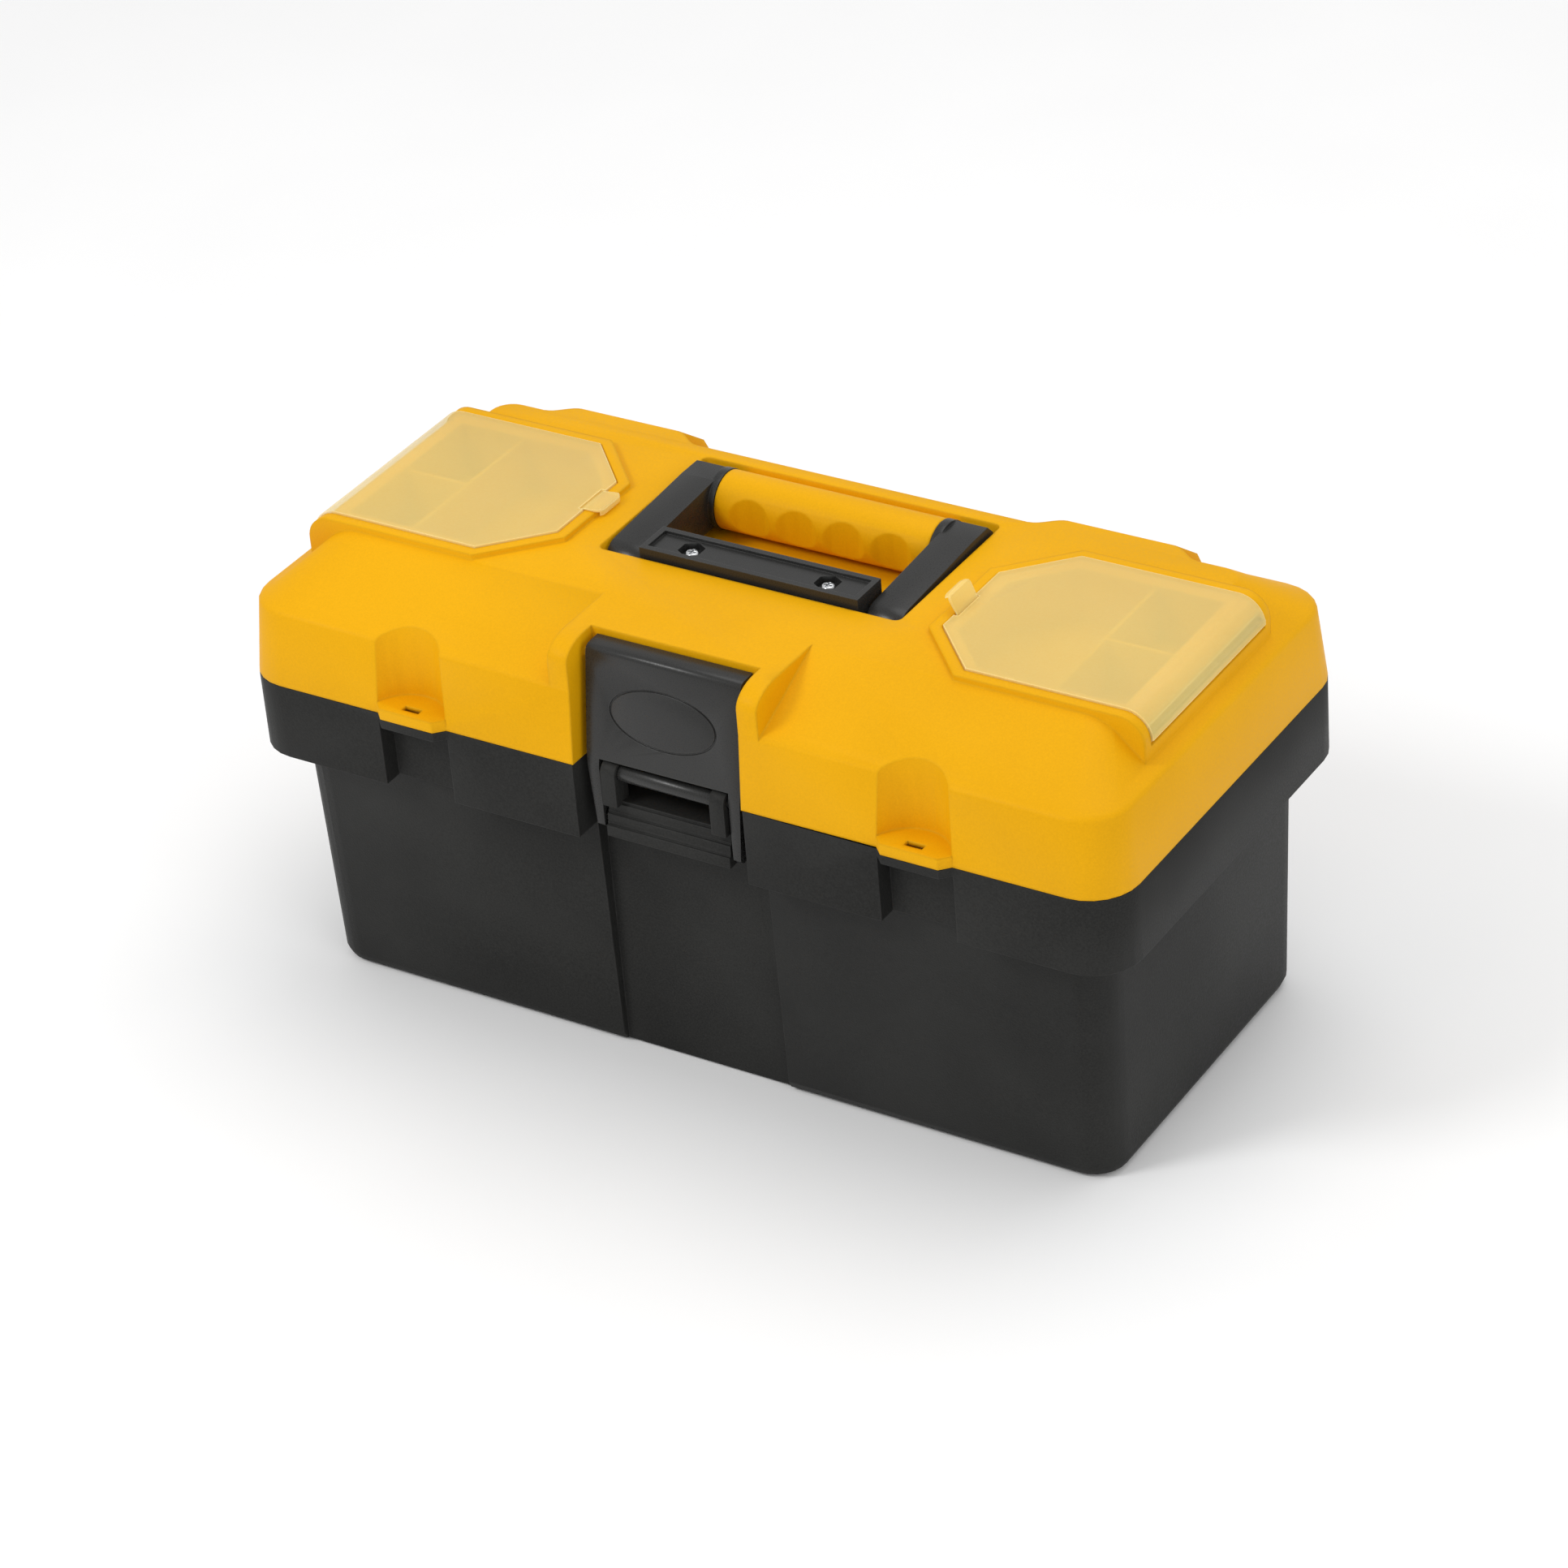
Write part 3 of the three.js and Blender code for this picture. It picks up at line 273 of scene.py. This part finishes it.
def moulded_plastic(name, dark, light, scuff_and_highlight_colour, rough, specular, grain_depth, grain_scale, soft_edge):
    """Injection-moulded plastic: cloudy colour, uneven gloss, spark-eroded grain, and edges lighter
    in patches for slight scuffs and a painted highlight.
    """
    nodes = Nodes(name)
    cloud = nodes.noise(CLOUD_SCALE, detail=3.0)
    grain = nodes.noise(grain_scale, detail=3.0, rough=0.6)
    patches = nodes.ramp(nodes.noise(PATCH_SCALE, detail=3.0), PATCH_LEAST, PATCH_MOST)
    # Edges turn lighter in patches: slight scuffs, and a painted highlight along every edge
    scuffs_and_highlight = nodes.combine("MULTIPLY", nodes.edges(SCUFF_AND_HIGHLIGHT_WIDTH), patches)
    colour = nodes.colours(nodes.average(cloud, grain), dark, light)
    nodes.paint(nodes.tinted(colour, scuff_and_highlight_colour, scuffs_and_highlight))
    nodes.roughness(grain, rough - SMOOTHER_BY, rough + ROUGHER_BY)
    nodes.bump(grain, grain_depth, soft_edge)
    nodes.shader.inputs["Specular IOR Level"].default_value = specular
    return nodes


def tub_black():
    """The tub's matt black, with a coarse grain."""
    return moulded_plastic(
        "tub_black",
        dark=(0.0135, 0.0135, 0.0128),
        light=(0.028, 0.028, 0.0265),
        # Edge colour: slight scuffs and painted highlight
        scuff_and_highlight_colour=(0.045, 0.045, 0.043),
        rough=0.5,
        specular=0.11,
        grain_depth=0.07,
        grain_scale=1150.0,
        soft_edge=0.5,
    ).material


def satin_black():
    """The smoother black of the latch, the handle's frame and its retainer."""
    return moulded_plastic(
        "satin_black",
        dark=(0.0175, 0.0175, 0.0168),
        light=(0.0245, 0.0245, 0.0235),
        # Edge colour: slight scuffs and painted highlight
        scuff_and_highlight_colour=(0.05, 0.05, 0.048),
        rough=0.3,
        specular=0.34,
        grain_depth=0.015,
        grain_scale=1900.0,
        soft_edge=0.4,
    ).material


def tray_black():
    """The tray's charcoal, with a fine grain."""
    return moulded_plastic(
        "tray_black",
        dark=(0.018, 0.018, 0.0182),
        light=(0.03, 0.03, 0.0303),
        # Edge colour: slight scuffs and painted highlight
        scuff_and_highlight_colour=(0.05, 0.05, 0.05),
        rough=0.45,
        specular=0.3,
        grain_depth=0.03,
        grain_scale=1600.0,
        soft_edge=0.6,
    ).material


def amber():
    """The lid's and the grip's amber yellow."""
    return moulded_plastic(
        "amber",
        dark=(0.755, 0.37, 0.0015),
        light=(0.84, 0.418, 0.003),
        # Edge colour: slight scuffs and painted highlight
        scuff_and_highlight_colour=(0.9, 0.48, 0.012),
        rough=0.5,
        specular=0.09,
        grain_depth=0.02,
        grain_scale=1250.0,
        soft_edge=1.6,
    ).material


def milky():
    """Frosted plastic with a warm cast: clearest on level faces, denser upright and at edges."""
    upright_alpha = 0.6
    level_alpha = 0.42
    rim_alpha = 0.85
    rim_width = 1.3
    nodes = moulded_plastic(
        "milky",
        dark=(0.985, 0.765, 0.24),
        light=(1.0, 0.805, 0.28),
        # Paler edge colour: slight scuffs and painted highlight
        scuff_and_highlight_colour=(1.0, 0.90, 0.56),
        rough=0.34,
        specular=0.4,
        grain_depth=0.02,
        grain_scale=900.0,
        soft_edge=0.0,
    )
    split = nodes.add("ShaderNodeSeparateXYZ")
    nodes.wire(nodes.facing, split.inputs["Vector"])
    levelness = nodes.add("ShaderNodeMath", operation="ABSOLUTE")
    nodes.wire(split.outputs["Z"], levelness.inputs[0])
    face = nodes.ramp(levelness.outputs["Value"], upright_alpha, level_alpha, start=0.1, end=0.95)
    rim = nodes.ramp(nodes.edges(rim_width), 0.0, rim_alpha, start=0.0, end=1.0)
    nodes.wire(nodes.combine("MAXIMUM", face, rim), nodes.shader.inputs["Alpha"])
    return nodes.material


def steel(name, rough):
    """Plated steel with fine uneven lines, smoothest at the roughness given."""
    nodes = Nodes(name)
    lines = nodes.noise(2400.0)
    nodes.paint(nodes.colours(lines, (0.66, 0.67, 0.68), (0.80, 0.81, 0.82)))
    nodes.roughness(lines, rough, rough + 0.12)
    nodes.bump(lines, depth=0.01, soft_edge=0.25)
    nodes.shader.inputs["Metallic"].default_value = 1.0
    return nodes.material


def screw_steel():
    return steel("screw_steel", rough=0.16)


def pin_steel():
    return steel("pin_steel", rough=0.3)


def studio_white():
    nodes = Nodes("floor")
    nodes.paint(nodes.colours(nodes.noise(6.0), (0.975, 0.975, 0.975), (0.99, 0.99, 0.99)))
    nodes.shader.inputs["Roughness"].default_value = 0.9
    return nodes.material


# ---------- stage ----------
def area_light(name, place, diameter, power, aim):
    light = bpy.data.lights.new(name, "AREA")
    light.shape = "DISK"
    light.size = diameter
    light.energy = power
    obj = link(bpy.data.objects.new(name, light))
    obj.location = place
    obj.rotation_mode = "QUATERNION"
    obj.rotation_quaternion = (Vector(aim) - Vector(place)).to_track_quat("-Z", "Y")


def build_floor():
    bm = bmesh.new()
    bmesh.ops.create_grid(bm, x_segments=FLOOR_CELLS, y_segments=FLOOR_CELLS, size=FLOOR_SIZE)
    floor = object_from(bm, "floor")
    floor.location.z = cad_low.z - FLOOR_GAP
    floor.data.materials.append(studio_white())


def build_lights():
    world = bpy.data.worlds.new("studio")
    bpy.context.scene.world = world
    world.use_nodes = True
    background = world.node_tree.nodes["Background"]
    background.inputs["Color"].default_value = (1.0, 1.0, 1.0, 1.0)
    background.inputs["Strength"].default_value = WORLD_STRENGTH
    area_light("key", place=(-0.9, -1.3, 1.6), diameter=0.6, power=13.0, aim=TUB_AIM)
    area_light("fill", place=(1.6, -0.7, 0.9), diameter=1.2, power=3.5, aim=TUB_AIM)
    area_light("top", place=(0.2, 0.5, 1.8), diameter=1.4, power=9.0, aim=LID_AIM)


def build_camera():
    reach = math.cos(VIEW_ELEVATION)
    back = Vector((
        math.sin(VIEW_AZIMUTH) * reach,
        -math.cos(VIEW_AZIMUTH) * reach,
        math.sin(VIEW_ELEVATION),
    ))
    level = Vector((math.cos(VIEW_AZIMUTH), math.sin(VIEW_AZIMUTH), 0.0))
    rise = back.cross(level)
    right = level * math.cos(VIEW_ROLL) + rise * math.sin(VIEW_ROLL)
    up = rise * math.cos(VIEW_ROLL) - level * math.sin(VIEW_ROLL)
    data = bpy.data.cameras.new("camera")
    data.lens = FOCAL_LENGTH
    data.sensor_width = SENSOR_WIDTH
    data.clip_start = NEAR_CLIP
    data.clip_end = FAR_CLIP
    camera = link(bpy.data.objects.new("camera", data))
    turn = Matrix((right, up, back)).transposed().to_4x4()
    camera.matrix_world = Matrix.Translation(VIEW_AIM + back * VIEW_DISTANCE) @ turn
    bpy.context.scene.camera = camera


# ---------- pieces ----------
def build_pieces():
    """One piece for each CAD node; widths are of the rounded edges, in millimetres."""
    black = tub_black()
    satin = satin_black()
    yellow = amber()
    charcoal = tray_black()
    clear = milky()
    screw = screw_steel()
    wire = pin_steel()
    stand_in("base_tub", black, width=0.6)
    stand_in("lid_shell", yellow, width=0.9)
    stand_in("latch_plate", satin, width=0.7)
    stand_in("handle_frame", satin, width=1.0)
    stand_in("handle_grip", yellow, width=0.8)
    # Rounding the retainer's mesh would crease its top, so only its shader softens its edges
    stand_in("handle_retainer", satin, width=0)
    stand_in("lift_out_tray", charcoal, width=0.4)
    stand_in("tray_handle", charcoal, width=0.4)
    for side in ("left", "right"):
        stand_in(f"organizer_cover_{side}", clear, width=0.4)
        stand_in(f"cover_clip_{side}", clear, width=0.2)
        stand_in(f"retainer_screw_{side}", screw, width=0.15)
        stand_in(f"hinge_pin_{side}", wire, width=0.3)


bpy.context.scene.view_settings.view_transform = "Standard"
build_camera()
build_floor()
build_lights()
build_pieces()
